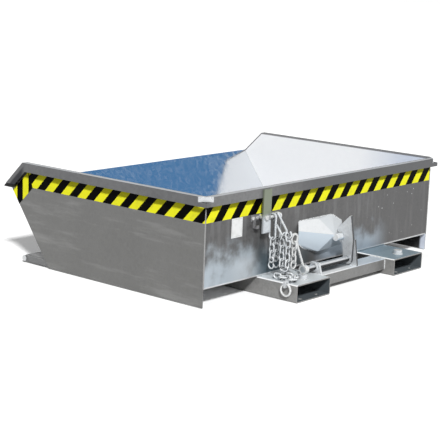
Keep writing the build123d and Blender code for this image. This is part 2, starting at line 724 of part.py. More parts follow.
# Anchor eye on the left pocket and the ring that hangs in it
eye_x = mouth + eye_from_mouth
eye_y = pocket_near + eye_reach / 2
eye_z0 = pocket_height - eye_height / 2
eye_rear = eye_x - eye_thickness / 2
eye_front = eye_x + eye_thickness / 2
eye_plate = block(eye_rear, eye_front, pocket_near, pocket_near + eye_reach, eye_z0, eye_z0 + eye_height)
eye_hole_z = pocket_height
eye_hole = rod_x(eye_y, eye_hole_z, eye_hole_dia, eye_rear - cut_over, eye_front + cut_over)
nodes["anchor_eye"] = eye_plate - eye_hole
ring_top = eye_hole_z - eye_hole_dia / 2 + ring_wire / 2 + ring_seat_gap
ring_seat = Pos(eye_x, eye_y, ring_top - ring_radius) * Rot(90, 0, 0)
nodes["anchor_ring"] = ring_seat * Torus(ring_radius, ring_wire / 2)

# Slack chain laid in a loop on the left pocket: upright links stand on it and level links join them
upright_span = link_inner_length + link_wire
level_span = link_inner_length - link_inner_width
seat_shift = (link_inner_width - link_wire) / 2 - link_gap
slack_z = pocket_height + link_wire + link_inner_width / 2 + link_gap / 3
slack_at = Vector(mouth + slack_from_mouth, pocket_near - slack_from_edge, slack_z)
slack_links = []
last_step = Vector(0, 0, 0)
for number, heading in enumerate(slack_headings):
    step = Vector(cos(radians(heading)), sin(radians(heading)), 0)
    level = number % 2 == 1
    span = level_span if level else upright_span
    if number:
        slack_at = slack_at + (last_step if level else step) * seat_shift
    lie = Rot(0, 0, heading) * Rot(90 if level else 0, 0, 0) * Rot(0, 90, 0)
    slack_links.append(Pos(slack_at + step * (span / 2)) * lie * link)
    slack_at = slack_at + step * span
    last_step = step
nodes["slack_chain_links"] = Compound(children=slack_links)

# Write one file for each node
for name, shape in nodes.items():
    export_step(shape, "parts/" + name + ".step")
    box = shape.bounding_box()
    print(name, len(shape.solids()), [round(v, 1) for v in (*box.min, *box.max)])
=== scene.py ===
import bpy
import bmesh
from math import cos, pi, radians, sin
from mathutils import Matrix, Vector


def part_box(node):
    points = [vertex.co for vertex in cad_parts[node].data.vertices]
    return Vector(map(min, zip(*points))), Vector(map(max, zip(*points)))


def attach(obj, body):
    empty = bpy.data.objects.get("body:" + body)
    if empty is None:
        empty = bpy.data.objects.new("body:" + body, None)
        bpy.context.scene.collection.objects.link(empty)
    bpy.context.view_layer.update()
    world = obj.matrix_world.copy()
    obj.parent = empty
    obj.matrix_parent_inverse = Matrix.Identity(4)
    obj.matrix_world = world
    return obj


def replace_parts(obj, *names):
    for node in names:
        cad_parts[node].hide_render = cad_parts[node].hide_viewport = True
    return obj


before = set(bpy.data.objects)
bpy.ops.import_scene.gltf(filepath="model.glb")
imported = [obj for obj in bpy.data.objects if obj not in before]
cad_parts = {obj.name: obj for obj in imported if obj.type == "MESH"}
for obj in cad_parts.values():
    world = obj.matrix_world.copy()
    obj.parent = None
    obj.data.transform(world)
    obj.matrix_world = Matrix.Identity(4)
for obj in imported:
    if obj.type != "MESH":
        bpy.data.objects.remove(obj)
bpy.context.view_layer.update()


# Fork pockets: two long rectangular steel tubes under the tub that take the truck's forks.
# Cut from hollow section, drilled through the bottom near the mouth so that zinc and rain drain,
# and hot-dip galvanised, which leaves crystals of zinc on the outside. The bore is painted dark as shade,
# darkest at the mouth.
class Shade:
    """A value inside a material. Arithmetic adds Math nodes, and node() adds any other node."""

    def __init__(self, tree, socket=None):
        self.tree = tree
        self.socket = socket

    def node(self, kind, sockets, out=0, **settings):
        made = self.tree.nodes.new("ShaderNode" + kind)
        for name, value in settings.items():
            setattr(made, name, value)
        for name, value in sockets.items():
            if isinstance(value, Shade):
                self.tree.links.new(value.socket, made.inputs[name])
            else:
                made.inputs[name].default_value = value
        return Shade(self.tree, made.outputs[out])

    def math(self, operation, first, second=0.0):
        return self.node("Math", {0: first, 1: second}, operation=operation)

    def __add__(self, other):
        return self.math("ADD", self, other)

    def __radd__(self, other):
        return self.math("ADD", other, self)

    def __sub__(self, other):
        return self.math("SUBTRACT", self, other)

    def __rsub__(self, other):
        return self.math("SUBTRACT", other, self)

    def __mul__(self, other):
        return self.math("MULTIPLY", self, other)

    def __rmul__(self, other):
        return self.math("MULTIPLY", other, self)

    def __gt__(self, other):
        return self.math("GREATER_THAN", self, other)

    def between(self, low, high):
        """0 below low, 1 above high, with a soft step from one to the other."""
        limits = {"Value": self, "From Min": low, "From Max": high}
        return self.node("MapRange", limits, interpolation_type="SMOOTHSTEP")


def axes(shade, vector):
    """The x, y and z of a vector."""
    parts = shade.node("SeparateXYZ", {0: vector}).socket.node.outputs
    return [Shade(shade.tree, part) for part in parts]


def facing(shade):
    """The x, y and z of the direction that the surface looks in."""
    return axes(shade, shade.node("TexCoord", {}, out="Normal"))


def coat(shade, share, under, over):
    """One colour laid over another, by its share of the surface."""
    return shade.node("Mix", {0: share, 6: under, 7: over}, out=2, data_type="RGBA")


def noise(shade, vector, scale, detail, roughness=0.5):
    """Cloudy noise that lies about 0.5."""
    return shade.node("TexNoise", {"Vector": vector, "Scale": scale, "Detail": detail, "Roughness": roughness})


def new_finish(name, **fixed):
    """A material with its shader, and a Shade to hang nodes on. Fixed values go straight to the shader."""
    finish = bpy.data.materials.new(name)
    finish.use_nodes = True
    shader = finish.node_tree.nodes["Principled BSDF"]
    for socket, value in fixed.items():
        shader.inputs[socket.replace("_", " ")].default_value = value
    return finish, Shade(finish.node_tree), shader


def feed(shader, **varying):
    """Joins values that vary over the surface to their sockets of the shader."""
    for socket, value in varying.items():
        value.tree.links.new(value.socket, shader.inputs[socket.replace("_", " ")])


def galvanised(name, dark, pale, rough, crystal=62.0, contrast=0.55, metallic=0.45, extra=None):
    """Hot-dip zinc: crystals of a few millimetres to two centimetres, each its own grey, under soft clouds.
    crystal is how many lie side by side in a metre, and extra lays wear, bloom or grime over the zinc."""
    bend_scale, bend_reach = 38.0, (0.012, 0.012, 0.012)
    fine_crystal, cloud_scale, dust_scale = 2.7 * crystal, 3.5, 240.0
    finish, shade, shader = new_finish(name, Metallic=metallic)
    place = shade.node("TexCoord", {}, out="Object")
    drift = shade.node("TexNoise", {"Vector": place, "Scale": bend_scale, "Detail": 3.0}, out="Color")
    bent = shade.node("VectorMath", {0: drift, 1: bend_reach, 2: place}, operation="MULTIPLY_ADD")
    cells = shade.node("TexVoronoi", {"Vector": bent, "Scale": crystal}, out="Color")
    fine_cells = shade.node("TexVoronoi", {"Vector": bent, "Scale": fine_crystal}, out="Color")
    grain = shade.node("SeparateColor", {0: cells}) - 0.5
    speck = shade.node("SeparateColor", {0: fine_cells}, out=1) - 0.5
    haze = noise(shade, place, cloud_scale, 6.0, 0.62) - 0.5
    dust = noise(shade, place, dust_scale, 2.0) - 0.5
    tone = 0.5 + contrast * (0.55 * grain + 0.3 * speck + 1.7 * haze + 0.25 * dust)
    colour = coat(shade, tone, dark, pale)
    if extra:
        colour = extra(shade, place, colour, haze)
    gloss = rough + 0.12 * grain + 0.2 * haze
    relief = shade.node("Bump", {"Strength": 0.12, "Distance": 0.0006, "Height": 0.3 * dust + 1.5 * haze})
    feed(shader, Base_Color=colour, Roughness=gloss, Normal=relief)
    return finish


def smooth_piece(name, bm, finishes, body):
    """Turns a bmesh into a piece with smooth curves and crisp flats that rides on a body."""
    crease = radians(40)
    mesh = bpy.data.meshes.new(name)
    bm.to_mesh(mesh)
    bm.free()
    for finish in finishes:
        mesh.materials.append(finish)
    mesh.shade_smooth()
    mesh.set_sharp_from_angle(angle=crease)
    piece = bpy.data.objects.new(name, mesh)
    bpy.context.scene.collection.objects.link(piece)
    flats = piece.modifiers.new("flat faces stay flat", "WEIGHTED_NORMAL")
    flats.keep_sharp = True
    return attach(piece, body)


def rounded(bm, corners, radius, segments):
    """Rounds some edges of a bmesh."""
    bmesh.ops.bevel(
        bm,
        geom=corners,
        offset=radius,
        offset_type="OFFSET",
        affect="EDGES",
        segments=segments,
        profile=0.5,
        clamp_overlap=True,
        material=-1,
    )
    bm.normal_update()


same_point = 0.00002


def dressed(node, body, finishes, edge=0.0, section=0.0, choose=None):
    """A copy of a solid with its triangles merged into whole faces and its corners rounded by the zinc.
    edge is the radius of every corner, section that of a rolled tube's long outer corners alone,
    and choose gives the number of a face's finish."""
    flat, corner, most = radians(0.6), radians(32), 0.9
    bm = bmesh.new()
    bm.from_mesh(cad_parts[node].data)
    bmesh.ops.remove_doubles(bm, verts=bm.verts, dist=same_point)
    bmesh.ops.dissolve_limit(bm, angle_limit=flat, verts=bm.verts, edges=bm.edges)
    bm.normal_update()
    if choose:
        for face in bm.faces:
            face.material_index = choose(face.calc_center_median(), face.normal)
    if section:
        longest = max(e.calc_length() for e in bm.edges)
        long_edges = [e for e in bm.edges if e.is_convex and e.calc_length() > most * longest]
        rounded(bm, [e for e in long_edges if e.calc_face_angle() > corner], section, segments=4)
    if edge:
        corners = [e for e in bm.edges if e.is_manifold and e.calc_face_angle() > corner]
        rounded(bm, corners, edge, segments=2)
    piece = smooth_piece("finished_" + node, bm, finishes, body)
    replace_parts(piece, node)


def pocket_top_light_and_shade(shade, place, colour, haze):
    """Painted light on the faces that look up, white on the left pocket and blue-grey on the right one,
    painted shade, nearly black, on the right one where the tub stands over it, and a painted highlight with
    some wear on the rounded top corners."""
    shade_black, bright = (0.006, 0.006, 0.006, 1), (0.95, 0.96, 0.97, 1)
    blue_grey, white = (0.245, 0.335, 0.4, 1), (0.74, 0.79, 0.82, 1)
    x, y = axes(shade, place)[:2]
    up = facing(shade)[2]
    left = y.between(-0.1, 0.1)
    # painted shade: the right pocket is painted nearly black where the tub stands over it
    shaded_under_tub = x.between(-0.56, -0.54) * (1 - left)
    colour = coat(shade, 0.93 * shaded_under_tub, colour, shade_black)
    # painted light: faces that look up are painted paler, white on the left pocket and blue-grey on the right
    top_light = coat(shade, left, blue_grey, white)
    colour = coat(shade, up.between(0.3, 0.9) * (0.85 + 0.6 * haze), colour, top_light)
    # painted highlight, with some wear, along the rounded top corners
    edge_highlight_and_wear = up.between(0.15, 0.35) * (1 - up.between(0.93, 0.99))
    return coat(shade, edge_highlight_and_wear, colour, bright)


def painted_mouth_shade(shade, place, colour, haze):
    """Painted shade just inside the mouth, fading further in."""
    shade_black = (0.085, 0.1, 0.11, 1)
    # painted shade: darkest just inside the mouth, fading deeper in
    depth = axes(shade, place)[0] + 0.05 * haze
    return coat(shade, 1 - depth.between(-0.69, -0.5), colour, shade_black)


def bore_of(node):
    """Picks the faces of a tube's bore, which look towards its middle line."""
    low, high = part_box(node)
    middle = (low + high) / 2

    def pick(at, normal):
        inwards, square = -1e-6, 0.9
        across = (at.y - middle.y) * normal.y < inwards and abs(normal.y) > square
        upright = (at.z - middle.z) * normal.z < inwards and abs(normal.z) > square
        return 1 if across or upright else 0

    return pick


zinc_pocket = galvanised(
    "zinc_pocket", (0.19, 0.188, 0.183, 1), (0.33, 0.327, 0.32, 1), rough=0.42, metallic=0.25, extra=pocket_top_light_and_shade
)
# painted shade: the bore's zinc is darker than the outside's
zinc_bore_painted_shade = galvanised(
    "zinc_bore_painted_shade", (0.1, 0.118, 0.13, 1), (0.22, 0.25, 0.27, 1), rough=0.7, metallic=0.2, extra=painted_mouth_shade
)
for side in ("left", "right"):
    node = "fork_pocket_" + side
    dressed(node, "base", [zinc_pocket, zinc_bore_painted_shade], edge=0.001, section=0.006, choose=bore_of(node))


# Rear crossbar: a rectangular tube between the two pockets behind the tub, which carries the latch cheeks.
# It is welded on at its ends with rippled runs of filler, dipped in zinc with the rest and so brighter than
# the sheet. Its top is painted paler as the light that falls on it, with the latch shaft's shadow painted
# across it.
def weld_bead(name, body, seams, finish, size):
    """One piece with a bead from start to end of every seam: a tube of one radius, half sunk in the seam,
    thin at its ends and with a ripple for every pass of the torch."""
    bm = bmesh.new()
    for start, end in seams:
        start, end = Vector(start), Vector(end)
        run = end - start
        side = run.orthogonal().normalized()
        up = run.cross(side).normalized()
        ripples = max(2, round(run.length / (1.3 * size)))
        made = bmesh.ops.create_grid(bm, x_segments=4 * ripples, y_segments=8, size=0.5)["verts"]
        for v in made:
            along, turn = v.co.x + 0.5, 2 * pi * (v.co.y + 0.5)
            taper = min(1.0, 0.05 + 0.5 * ripples * min(along, 1 - along))
            ripple = 1 + 0.13 * cos(2 * pi * along * ripples) + 0.06 * sin(17.3 * along * ripples)
            reach = size * taper * ripple
            v.co = start + run * along + side * (reach * cos(turn)) + up * (reach * sin(turn))
        bmesh.ops.remove_doubles(bm, verts=made, dist=same_point)
    bmesh.ops.holes_fill(bm, edges=bm.edges, sides=10)
    bmesh.ops.recalc_face_normals(bm, faces=bm.faces)
    smooth_piece(name, bm, [finish], body)


def crossbar_top_light_and_shadow(shade, place, colour, haze):
    """Painted light on faces that look up, bluer to the right, and the latch shaft's shadow painted nearly
    black on the top.
    """
    blue_grey, white, shaft_shade = (0.72, 0.82, 0.92, 1), (0.95, 0.97, 0.98, 1), (0.01, 0.01, 0.011, 1)
    x, y = axes(shade, place)[:2]
    up = facing(shade)[2].between(0.3, 0.9)
    left = y.between(-0.15, 0.1)
    # painted light: faces that look up are painted paler, white on the left and blue-grey on the right
    top_light = coat(shade, left, blue_grey, white)
    colour = coat(shade, up * (0.6 + 0.4 * left + 0.9 * haze), colour, top_light)
    # painted shadow of the latch shaft, nearly black, on the crossbar's top
    under_shaft = x.between(-0.605, -0.59) * left
    return coat(shade, 0.95 * under_shaft, colour, shaft_shade)


zinc_bead = galvanised("zinc_bead", (0.45, 0.46, 0.46, 1), (0.8, 0.82, 0.83, 1), rough=0.3, crystal=150.0)
zinc_bar = galvanised(
    "zinc_bar", (0.15, 0.15, 0.148, 1), (0.26, 0.26, 0.257, 1), rough=0.4, metallic=0.3, extra=crossbar_top_light_and_shadow
)
dressed("rear_crossbar", "base", [zinc_bar], edge=0.001, section=0.005)
low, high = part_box("rear_crossbar")
seams = []
for y in (low.y, high.y):
    seams.append(((low.x, y, low.z), (low.x, y, high.z)))
    seams.append(((low.x, y, high.z), (high.x, y, high.z)))
    seams.append(((high.x, y, low.z), (high.x, y, high.z)))
weld_bead("crossbar_welds", "base", seams, zinc_bead, size=0.0035)


# Front beam and pivot tube: a flat box under the pour end, with the thick tube that the tub turns on
# seated in its front edge. Both are galvanised steel: short stitches hold the tube in the beam, and a run
# of weld over each pocket holds the beam.
zinc_beam = galvanised("zinc_beam", (0.125, 0.127, 0.128, 1), (0.225, 0.227, 0.229, 1), rough=0.42)
dressed("front_beam", "base", [zinc_beam], edge=0.0015)
dressed("pivot_tube", "base", [zinc_beam], edge=0.0008)
low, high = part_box("front_beam")
stitches, stitch, stitch_margin, sunk, run_margin = 9, 0.08, 0.06, 0.0015, 0.01
stitch_pitch = (high.y - low.y - 2 * stitch_margin - stitch) / (stitches - 1)
seams = []
for number in range(stitches):
    y = low.y + stitch_margin + number * stitch_pitch
    for z in (high.z, low.z):
        seams.append(((high.x - sunk, y, z), (high.x - sunk, y + stitch, z)))
for side in ("left", "right"):
    near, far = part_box("fork_pocket_" + side)
    seams.append(((low.x, near.y + run_margin, high.z), (low.x, far.y - run_margin, high.z)))
weld_bead("front_beam_welds", "base", seams, zinc_bead, size=0.003)


# Latch cheeks: two upright plates that carry the latch shaft, the far one tall behind the hook and the near
# one a low trapezium. Flame-cut from steel plate, welded across the crossbar and galvanised.
def shaded_back_faces(shade, place, colour, haze):
    """Painted shade, nearly black, on the faces of the plate that look backwards."""
    back_shade_black = (0.02, 0.022, 0.025, 1)
    # painted shade on the faces that look backwards
    back = 1 - facing(shade)[0].between(-0.85, -0.6)
    return coat(shade, 0.92 * back, colour, back_shade_black)


zinc_plate = galvanised("zinc_plate", (0.5, 0.52, 0.54, 1), (0.8, 0.82, 0.84, 1), rough=0.34, crystal=90.0)
zinc_shaded_back = galvanised(
    "zinc_shaded_back", (0.5, 0.52, 0.54, 1), (0.78, 0.8, 0.82, 1), rough=0.34, crystal=90.0, extra=shaded_back_faces
)
bar_top, weld_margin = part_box("rear_crossbar")[1].z, 0.002
seams = []
for node, finish in (("latch_cheek_far", zinc_shaded_back), ("latch_cheek_near", zinc_plate)):
    dressed(node, "base", [finish], edge=0.001)
    low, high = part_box(node)
    for y in (low.y, high.y):
        seams.append(((low.x + weld_margin, y, bar_top), (high.x - weld_margin, y, bar_top)))
weld_bead("cheek_welds", "base", seams, zinc_bead, size=0.003)


# Fork clamps: a round steel boss on each pocket with a socket screw that is wound down on the fork.
# The boss is welded round its foot and galvanised, the screw is bright plated and threaded into it.
def ring_bead(name, body, rings, finish, size):
    """Rippled beads round upright bosses: centre of the foot and radius of each."""
    bm = bmesh.new()
    for centre, radius in rings:
        ripples = round(2 * pi * radius / (1.4 * size))
        made = bmesh.ops.create_grid(bm, x_segments=4 * ripples, y_segments=8, size=0.5)["verts"]
        for v in made:
            along, turn = 2 * pi * (v.co.x + 0.5), 2 * pi * (v.co.y + 0.5)
            thick = size * (1 + 0.13 * cos(along * ripples))
            out = radius + thick * cos(turn)
            v.co = Vector(centre) + Vector((out * cos(along), out * sin(along), thick * sin(turn)))
        bmesh.ops.remove_doubles(bm, verts=made, dist=same_point)
    bmesh.ops.recalc_face_normals(bm, faces=bm.faces)
    smooth_piece(name, bm, [finish], body)


bright_plate = galvanised(
    "bright_plate", (0.55, 0.56, 0.56, 1), (0.88, 0.89, 0.89, 1), rough=0.26, crystal=260.0, metallic=0.5
)
dressed("fork_clamp_bosses", "base", [zinc_plate], edge=0.0012)
boss_radius = 0.0205
rings = []
for side in ("left", "right"):
    dressed("fork_clamp_screw_" + side, "clamp_" + side, [bright_plate], edge=0.0006)
    low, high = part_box("fork_clamp_screw_" + side)
    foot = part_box("fork_pocket_" + side)[1].z
    rings.append((((low.x + high.x) / 2, (low.y + high.y) / 2, foot), boss_radius))
ring_bead("clamp_boss_welds", "base", rings, zinc_bead, size=0.0028)


# Anchor eye and ring: a drilled steel lug welded to the left pocket's side, with a forged ring hanging in it
# for the safety chain that ties the hopper to the truck. The lug is galvanised, the ring bright plated.
dressed("anchor_eye", "base", [zinc_plate], edge=0.0014)
dressed("anchor_ring", "anchor_ring", [bright_plate])
low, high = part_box("anchor_eye")
weld_top = min(high.z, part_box("fork_pocket_left")[1].z)
seams = [((x, low.y, low.z), (x, low.y, weld_top)) for x in (low.x, high.x)]
weld_bead("anchor_eye_welds", "base", seams, zinc_bead, size=0.0022)


# Latch: a turned steel shaft in the two cheeks with a collar at each, the flame-cut hook that grips the
# lock pin, and the cranked release lever with its pull ring. Hook, collars and lever are fast on the shaft.
def shaded_underside(shade, place, colour, haze):
    """Painted shade, nearly black, along the lower half of the bar. The end faces are left out."""
    underside_black = (0.004, 0.004, 0.005, 1)
    y, z = facing(shade)[1:]
    # painted shade: faces of the bar that look down are painted nearly black
    end = shade.math("ABSOLUTE", y).between(0.4, 0.6)
    shaft_shade = (1 - (z + 0.2 * haze).between(0.1, 0.4)) * (1 - end)
    return coat(shade, 0.96 * shaft_shade, colour, underside_black)


shaft_steel = galvanised(
    "shaft_steel",
    (0.5, 0.52, 0.54, 1),
    (0.84, 0.86, 0.88, 1),
    rough=0.36,
    crystal=200.0,
    metallic=1.0,
    extra=shaded_underside,
)
dressed("latch_shaft", "latch", [shaft_steel], edge=0.0012)
dressed("shaft_collars", "latch", [zinc_plate], edge=0.001)
dressed("latch_hook", "latch", [zinc_shaded_back], edge=0.0012)
dressed("release_lever", "latch", [bright_plate], edge=0.0008)


# Pull chain: three welded links and a grip ring of plated wire that hang from the lever's ring.
# Pulling it down turns the latch shaft and frees the tub.
dressed("pull_chain_links", "pull_chain", [bright_plate])
dressed("pull_grip_ring", "pull_chain", [bright_plate])


# Tub wrap: back wall, floor and front slope bent from one steel sheet and galvanised. Outside it is weathered,
# with painted reflection, shadow and shade low down; inside it is bright zinc that still mirrors what is
# around it.
def weathering_and_painted_light(shade, place, colour, haze):
    """Marks on the back wall: runs, a pale painted reflection low on the left with a white core, a painted
    shadow behind the chains, painted shade beside them below the hood, a blue painted reflection below the
    hood, dull zinc with white pimples on the right, and a painted highlight round the bottom bend that also
    covers the underside."""
    run_grey, dull_grey, reflection_pale = (0.24, 0.24, 0.245, 1), (0.08, 0.08, 0.082, 1), (0.5, 0.57, 0.63, 1)
    reflection_white, chain_shadow_blue = (0.8, 0.85, 0.89, 1), (0.065, 0.105, 0.13, 1)
    hood_shade_grey, reflection_blue = (0.09, 0.11, 0.12, 1), (0.42, 0.49, 0.56, 1)
    pimple_white, bend_highlight = (0.7, 0.71, 0.72, 1), (0.85, 0.86, 0.87, 1)
    y, z = axes(shade, place)[1:]
    ragged = noise(shade, place, 9.0, 4.0, 0.55) - 0.5

    def patch(under, tone, share, right, left, top, tear):
        """A soft patch from its right edge to its left edge, below a torn top edge."""
        wide = y.between(*right) * (1 - y.between(*left))
        cover = wide * (1 - (z + tear * ragged).between(*top))
        return coat(shade, share * cover, under, tone)

    upright = shade.node("Mapping", {"Vector": place, "Scale": (1.0, 14.0, 1.6)})
    run_down = noise(shade, upright, 2.6, 4.0, 0.6)
    colour = coat(shade, 0.35 * run_down.between(0.48, 0.7), colour, run_grey)
    right_end = 1 - y.between(-0.5, -0.25)
    colour = coat(shade, 0.35 * right_end, colour, dull_grey)
    # painted reflection: a pale patch low on the left
    cover = (1 - z.between(0.12, 0.32)) * y.between(0.3, 0.55) * (1 - 0.05 * y.between(0.66, 0.8))
    pale_reflection = (0.75 * cover + 1.9 * ragged).between(0.2, 0.9) * cover.between(0.0, 0.35)
    colour = coat(shade, 0.9 * pale_reflection, colour, reflection_pale)
    # painted reflection: the white core of the pale patch
    colour = patch(colour, reflection_white, 0.4, right=(0.44, 0.55), left=(0.57, 0.69), top=(0.14, 0.2), tear=0.1)
    # painted shadow of the chains on the wall
    colour = patch(colour, chain_shadow_blue, 0.8, right=(0.27, 0.36), left=(0.42, 0.54), top=(0.13, 0.24), tear=0.2)
    # painted shade below the hood's left edge
    colour = patch(colour, hood_shade_grey, 0.7, right=(0.1, 0.17), left=(0.22, 0.28), top=(0.12, 0.18), tear=0.15)
    # painted reflection: blue, low on the wall below and right of the hood
    colour = patch(colour, reflection_blue, 0.8, right=(-0.5, -0.3), left=(-0.02, 0.12), top=(0.11, 0.22), tear=0.3)
    drop = shade.node("TexVoronoi", {"Vector": place, "Scale": 34.0}, out="Distance")
    pimple = (1 - drop.between(0.07, 0.15)) * (ragged + 0.5).between(0.52, 0.6) * right_end
    colour = coat(shade, 0.85 * pimple, colour, pimple_white)
    # painted highlight round the bottom bend, which also covers the underside
    highlit_bend = 1 - z.between(0.08, 0.087)
    return coat(shade, 0.9 * highlit_bend, colour, bend_highlight)


def faces_inside(at, normal):
    """1 for the faces that look into the tub."""
    square, under_rim = 0.9, 0.4
    end_face = abs(normal.y) > square
    top_face = normal.z > square and at.z > under_rim
    looks_in = normal.x > 0.3 and at.x < 0 or normal.z > 0.2
    return 1 if looks_in and not end_face and not top_face else 0


zinc_back = galvanised(
    "zinc_back", (0.068, 0.067, 0.067, 1), (0.155, 0.154, 0.154, 1), rough=0.42, extra=weathering_and_painted_light
)
zinc_inside = galvanised(
    "zinc_inside", (0.78, 0.8, 0.82, 1), (0.89, 0.905, 0.92, 1), rough=0.17, contrast=0.25, metallic=1.0
)
dressed("tub_wrap_sheet", "tub", [zinc_back, zinc_inside], edge=0.0006, choose=faces_inside)


# Tub side panels: flat steel plates welded to the ends of the wrap and galvanised with it, with skirts that
# reach almost to the ground. Outside they are evenly weathered grey; inside they are painted near-white,
# partly as glare.
wall_low, wall_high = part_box("tub_wrap_sheet")
knee_reach, rim_top, rim_fall = 1.04, 0.452, radians(43.92)
knee_x = wall_low.x + knee_reach


def drained(shade, place, colour, haze):
    """Faint level streaks where the zinc ran off as the tub came out of the bath."""
    streak_grey = (0.36, 0.36, 0.355, 1)
    long_run = shade.node("Mapping", {"Vector": place, "Scale": (1.3, 1.3, 10.0)})
    streak = noise(shade, long_run, 2.4, 5.0, 0.62)
    return coat(shade, 0.4 * streak.between(0.48, 0.75), colour, streak_grey)


def below_floor(shade, place, colour, haze):
    """Bluer zinc towards the back, painted shade, nearly black, on the skirt's inside below the tub's floor,
    short of the rear end, and a dull band along the top where the rim is welded on."""
    blue, dark, dull = (0.56, 0.62, 0.74, 1), (0.012, 0.012, 0.013, 1), (0.14, 0.14, 0.145, 1)
    x, _, z = axes(shade, place)
    back = 1 - (x + 0.1 * haze).between(-0.38, -0.05)
    colour = coat(shade, 0.85 * back, colour, blue)
    # painted shade, nearly black, on the skirt's inside below the floor, except at the rear end
    ahead = (x - 0.01 * haze).between(wall_low.x + 0.02, wall_low.x + 0.034)
    colour = coat(shade, (1 - z.between(0.074, 0.077)) * ahead, colour, dark)
    fallen = (rim_top - z) * cos(rim_fall) - (x - knee_x) * sin(rim_fall)
    band = 1 - shade.math("MINIMUM", rim_top - z, fallen).between(0.005, 0.0085)
    return coat(shade, 0.9 * band, colour, dull)


def panel_inside(inwards):
    """Picks the faces of a side panel that look into the tub, towards more y or less."""
    square = 0.9
    return lambda at, normal: 1 if inwards * normal.y > square else 0


zinc_side = galvanised(
    "zinc_side", (0.137, 0.137, 0.134, 1), (0.205, 0.205, 0.2, 1), rough=0.45, contrast=0.5, extra=drained
)
# painted light: the inside faces are painted near-white, bright zinc partly standing for glare
zinc_side_in = galvanised(
    "zinc_side_in",
    (0.87, 0.88, 0.9, 1),
    (0.95, 0.96, 0.97, 1),
    rough=0.4,
    contrast=0.25,
    metallic=0.1,
    extra=below_floor,
)
zinc_seam = galvanised("zinc_seam", (0.24, 0.24, 0.24, 1), (0.42, 0.42, 0.42, 1), rough=0.36, crystal=150.0)
zinc_seam_in = galvanised("zinc_seam_in", (0.58, 0.59, 0.6, 1), (0.7, 0.71, 0.72, 1), rough=0.5, crystal=150.0)
for side, inwards in (("left", -1), ("right", 1)):
    finishes, pick = [zinc_side, zinc_side_in], panel_inside(inwards)
    dressed("tub_side_panel_" + side, "tub", finishes, edge=0.0008, choose=pick)
bead_out, rim_foot = 0.0015, 0.405
corner, floor_end, floor_top, corner_top = wall_low.x + 0.004, wall_low.x + 0.939, 0.0795, 0.445
slope_foot, slope_top = (wall_low.x + 0.945, 0.0815), (wall_low.x + 1.143, 0.3465)
seams, inner_seams = [], []
for y in (wall_low.y, wall_high.y):
    out = bead_out if y > 0 else -bead_out
    outer, inner = y + out, y - out
    seams.append(((wall_low.x, outer, wall_low.z), (wall_low.x, outer, rim_foot)))
    inner_seams.append(((corner, inner, floor_top), (floor_end, inner, floor_top)))
    inner_seams.append(((corner, inner, floor_top), (corner, inner, corner_top)))
    inner_seams.append(((slope_foot[0], inner, slope_foot[1]), (slope_top[0], inner, slope_top[1])))
weld_bead("tub_corner_welds", "tub", seams, zinc_seam, size=0.003)
weld_bead("tub_inner_welds", "tub", inner_seams, zinc_seam_in, size=0.0018)


# Rim: galvanised steel angle folded round the two sides and the back, mitred behind, with a bevelled plate
# welded on each corner. It stiffens the tub; its top is painted paler as the light on it, while the drop side
# stays grey.
def rim_light_and_shade(shade, place, colour, haze):
    """Painted light on the top of the rim, duller zinc along the left and the right of the back,
    and painted shade, nearly black, on the lower half of the sloping ends."""
    dull_grey, slope_shade_black, top_light = (0.05, 0.052, 0.057, 1), (0.012, 0.013, 0.018, 1), (0.55, 0.58, 0.61, 1)
    x, y, z = axes(shade, place)
    dull = 0.6 * (1 - y.between(0.1, 0.5)) + 0.35 * y.between(0.812, 0.82)
    colour = coat(shade, dull, colour, dull_grey)
    # painted shade, nearly black, on the lower half of the sloping ends
    across = 0.694 * x + 0.72 * z + 0.01 * haze
    sloped_end_shade = x.between(0.535, 0.57) * (1 - across.between(0.69, 0.7))
    colour = coat(shade, 0.97 * sloped_end_shade, colour, slope_shade_black)
    # painted light: faces that look up are painted paler
    up = facing(shade)[2].between(0.3, 0.9)
    return coat(shade, up * (0.5 + 0.9 * haze), colour, top_light)


zinc_rim = galvanised(
    "zinc_rim", (0.13, 0.132, 0.135, 1), (0.24, 0.242, 0.245, 1), rough=0.38, extra=rim_light_and_shade
)
zinc_rim_dull = galvanised("zinc_rim_dull", (0.09, 0.09, 0.093, 1), (0.17, 0.17, 0.175, 1), rough=0.6)
for node, finish in (("rim_left", zinc_rim), ("rim_right", zinc_rim_dull), ("rim_back", zinc_rim)):
    dressed(node, "tub", [finish], edge=0.0011)
dressed("rim_corner_plates", "tub", [zinc_plate], edge=0.001)


# Rim end plugs: black moulded caps pushed on the two front ends of the rim, so that nobody cuts a hand.
# They are plain plastic with a fine spark texture from the mould, greyed a little by the sun.
black_moulding, shade, shader = new_finish("black_moulding", Metallic=0.0, Specular_IOR_Level=0.15)
place = shade.node("TexCoord", {}, out="Object")
spark = noise(shade, place, 900.0, 2.0)
fade = noise(shade, place, 40.0, 4.0)
feed(
    shader,
    Base_Color=coat(shade, fade.between(0.35, 0.75), (0.008, 0.008, 0.009, 1), (0.022, 0.022, 0.023, 1)),
    Roughness=0.5 + 0.3 * (fade - 0.5),
    Normal=shade.node("Bump", {"Strength": 0.25, "Distance": 0.0002, "Height": spark}),
)
dressed("rim_end_plugs", "tub", [black_moulding], edge=0.005)


